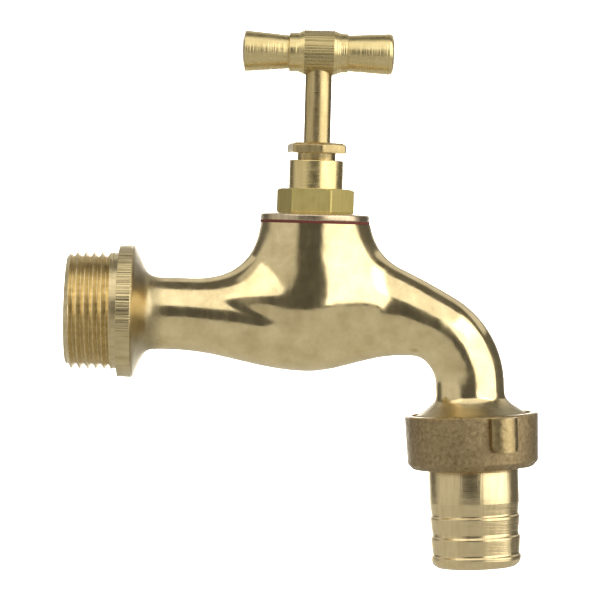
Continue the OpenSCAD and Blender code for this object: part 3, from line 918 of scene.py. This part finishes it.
def lug(angle):
    """Rib on the nut's side with a rounded face and rounded lower corners."""
    around = Matrix.Rotation(math.radians(angle), 4, "Z")
    low, high, half, corner = NUT_W + 0.3, NUT_W + 9.9, 4.0, 1.6
    face_x, face_r = 16.2, 5.55
    round_face = rod("lug", OUTLET @ around @ Matrix.Translation((face_x, 0, 0)), face_r,
                     low + 0.2, high, 72)
    outline = [(-half, low), (half, low)]
    for centre, start in ((half - corner, 0), (-half + corner, 90)):
        for a in np.radians(np.linspace(start, start + 90, 7)):
            outline.append((centre + corner * math.cos(a), high - corner + corner * math.sin(a)))
    count = len(outline)
    inner_end, outer_end = 14, 26
    points = [(r, s, w) for r in (inner_end, outer_end) for s, w in outline]
    faces = [tuple(range(count)), tuple(count + i for i in range(count))]
    faces += [(i, (i + 1) % count, count + (i + 1) % count, count + i) for i in range(count)]
    block = mesh_from("lug_block", points, faces, OUTLET @ around)
    return combine(round_face, block, "INTERSECT")


def union_nut():
    """Cast nut with two lugs and a threaded bore over a smaller hole for the tail."""
    outline = [(0, NUT_W), (NUT_R - 0.4, NUT_W, 0.1), (NUT_R, NUT_W + 0.4, 0.2),
               (18.35, NUT_END - 1.6, 0.8), (16.9, NUT_END, 0.9), (0, NUT_END)]
    piece = spin("union_nut_cast", outline, OUTLET, 192)
    for angle in (LUG_ANGLE, LUG_ANGLE + 180):
        combine(piece, lug(angle), "UNION")
    plug = thread_rod("nut_thread", OUTLET, NUT_W - 3, NUT_FLOOR, grow=0.1)
    combine(piece, plug, "DIFFERENCE")
    mouth = rod("nut_mouth", OUTLET, CREST_R + 0.12, NUT_W - 1, NUT_W + 0.9, 128)
    combine(piece, mouth, "DIFFERENCE")
    combine(piece, rod("nut_hole", OUTLET, TAIL_R + 0.35, NUT_W, NUT_END + 2, 128),
            "DIFFERENCE")

    def machined(centre):
        """Bore and thread, down to the inner floor."""
        across, down = on_outlet(centre[0], centre[2])
        return math.hypot(across, centre[1]) < CREST_R + 0.43 and down < NUT_FLOOR

    def worn(centre):
        """Lugs and top face."""
        across, down = on_outlet(centre[0], centre[2])
        return math.hypot(across, centre[1]) > NUT_R + 0.05 or down < NUT_W + 0.2

    paint(piece, 2, worn)
    paint(piece, 1, machined)
    return finish_piece(piece, [BRONZE, TAIL_BRASS, LUG_BRONZE], "union", "cast_bronze",
                        "union_nut")


tap_body()
gasket()
bonnet()
gland_nut()
packing_ring("packing_ring_lower")
packing_ring("packing_ring_upper")
stem()
handle_hub()
grip("grip_left", "left_grip", -1, LEFT_COLLAR, LEFT_REACH, 4.75, 5.8, 0.15, 0.8)
grip("grip_right", "right_grip", 1, RIGHT_COLLAR, RIGHT_REACH, 5.1, 5.85, 1.9, 0.5)
hose_tail()
union_nut()

# Pieces that keep their CAD shape
INNER = {"packing_washer": STACK_BRASS, "gland_follower": STACK_BRASS,
         "valve_jumper": STACK_BRASS, "seat_washer": RUBBER, "washer_plate": STACK_BRASS,
         "washer_nut": STACK_BRASS, "handle_bar": HANDLE_BRASS, "tail_washer": RUBBER}
for node, material in INNER.items():
    data = frame["nodes"][node].data
    data.materials.clear()
    data.materials.append(material)


# ---- Stage, light and camera -------------------------------------------------------------

def stage():
    """Pale floor that curves up into a backdrop behind the tap."""
    floor_z, front_y, back_y, rise, top_z, half = -0.22, -1.5, 1.15, 0.2, 0.7, 0.8
    outline = [(front_y, floor_z)]
    for a in np.radians(np.linspace(-90, 0, 13)):
        outline.append((back_y - rise + rise * math.cos(a), floor_z + rise + rise * math.sin(a)))
    outline.append((back_y, top_z))
    points = [(x, y, z) for x in (-half, half) for y, z in outline]
    count = len(outline)
    data = bpy.data.meshes.new("floor")
    data.from_pydata(points, [], [(i, i + 1, count + i + 1, count + i) for i in range(count - 1)])
    floor = bpy.data.objects.new("floor", data)
    bpy.context.scene.collection.objects.link(floor)
    for face in data.polygons:
        face.use_smooth = True
    s = Shader("pale_floor", metallic=0.0)
    s.tint(s.noise((3, 3, 3)), (0.58, 0.58, 0.57), (0.61, 0.61, 0.60))
    s.bsdf.inputs["Roughness"].default_value = 0.9
    s.bsdf.inputs["Specular IOR Level"].default_value = 0.1
    data.materials.append(s.material)


class Sky:
    """World light made of soft boxes given by their directions."""

    def __init__(self):
        world = bpy.data.worlds.new("studio")
        bpy.context.scene.world = world
        world.use_nodes = True
        self.tree = world.node_tree
        direction = self.tree.nodes.new("ShaderNodeTexCoord").outputs["Generated"]
        split = self.tree.nodes.new("ShaderNodeSeparateXYZ")
        self.tree.links.new(direction, split.inputs[0])
        self.x, self.y, self.z = split.outputs

    def math(self, operation, a, b=0.0):
        made = self.tree.nodes.new("ShaderNodeMath")
        made.operation = operation
        for socket, value in zip(made.inputs, (a, b)):
            if isinstance(value, (int, float)):
                socket.default_value = value
            else:
                self.tree.links.new(value, socket)
        return made.outputs[0]

    def window(self, value, low, high, soft):
        """1 between low and high, falling to 0 over soft on each side."""
        made = self.tree.nodes.new("ShaderNodeMapRange")
        made.interpolation_type = "SMOOTHSTEP"
        middle, half = (low + high) / 2, (high - low) / 2
        away = self.math("ABSOLUTE", self.math("SUBTRACT", value, middle))
        self.tree.links.new(away, made.inputs["Value"])
        made.inputs["From Min"].default_value = half
        made.inputs["From Max"].default_value = half + soft
        made.inputs["To Min"].default_value = 1
        made.inputs["To Max"].default_value = 0
        return made.outputs["Result"]

    def box(self, across, up, depth, wide, tall, soft=0.06):
        """Soft box seen through the plane where depth is 1."""
        u, v = self.math("DIVIDE", across, depth), self.math("DIVIDE", up, depth)
        inside = self.math("MULTIPLY", self.window(u, *wide, soft), self.window(v, *tall, soft))
        ahead = self.math("GREATER_THAN", depth, 0.02)
        return self.math("MULTIPLY", inside, ahead)

    def add(self, *parts):
        """Sum of numbers and sockets."""
        total = parts[0]
        for part in parts[1:]:
            total = self.math("ADD", total, part)
        return total


def light():
    """Soft boxes at the right and overhead, a dimmer one at the left, a dark card in front."""
    sky = Sky()
    left = sky.math("MULTIPLY", sky.x, -1.0)
    front = sky.math("MULTIPLY", sky.y, -1.0)
    right_box = sky.box(sky.y, sky.z, sky.x, (-3.0, 0.05), (-0.12, 1.1))
    top_front_box = sky.box(sky.x, sky.y, sky.z, (-1.6, 1.6), (-2.0, -0.12))
    top_back_box = sky.box(sky.x, sky.y, sky.z, (-1.6, 1.6), (0.75, 2.2), 0.2)
    left_box = sky.box(sky.y, sky.z, left, (-1.3, 0.2), (-0.5, 1.4), 0.4)
    powers = ((right_box, 1.9), (top_front_box, 1.1), (top_back_box, 0.6), (left_box, 0.5))
    ambient, card_depth = 0.14, 0.3
    level = sky.add(ambient, *[sky.math("MULTIPLY", box, power) for box, power in powers])
    card = sky.box(sky.x, sky.z, front, (-0.75, 0.2), (-0.28, 0.3), 0.12)
    shaded = sky.math("SUBTRACT", 1.0, sky.math("MULTIPLY", card, card_depth))
    level = sky.math("MULTIPLY", level, shaded)
    background = sky.tree.nodes["Background"]
    sky.tree.links.new(level, background.inputs["Strength"])
    background.inputs["Color"].default_value = (1.0, 0.985, 0.95, 1)
    # Washes the backdrop white without lighting the floor under the tap
    wash = bpy.data.lights.new("backdrop_wash", "SPOT")
    wash.energy = 260
    wash.shadow_soft_size = 0.1
    wash.spot_size = math.radians(46)
    wash.spot_blend = 0.3
    lamp = bpy.data.objects.new("backdrop_wash", wash)
    lamp.location = (0.05, 0.35, 0.75)
    lamp.rotation_euler = (math.radians(46), 0, 0)
    lamp.visible_glossy = False
    bpy.context.scene.collection.objects.link(lamp)


def camera():
    """Long lens in front of the tap, a little above it and slightly rolled."""
    aim = Vector((0.0508, 0, 0.0043))
    distance, height, width = 0.85, 0.020, 0.1686
    data = bpy.data.cameras.new("camera")
    data.sensor_width = 36
    data.sensor_fit = "HORIZONTAL"
    data.lens = data.sensor_width * distance / width
    place = bpy.data.objects.new("camera", data)
    place.location = aim + Vector((0, -distance, height))
    look = (aim - place.location).to_track_quat("-Z", "Y")
    roll = Matrix.Rotation(math.radians(1.5), 4, "Z")
    place.matrix_world = Matrix.Translation(place.location) @ look.to_matrix().to_4x4() @ roll
    bpy.context.scene.collection.objects.link(place)
    bpy.context.scene.camera = place
    bpy.context.scene.view_settings.view_transform = "Standard"


stage()
light()
camera()
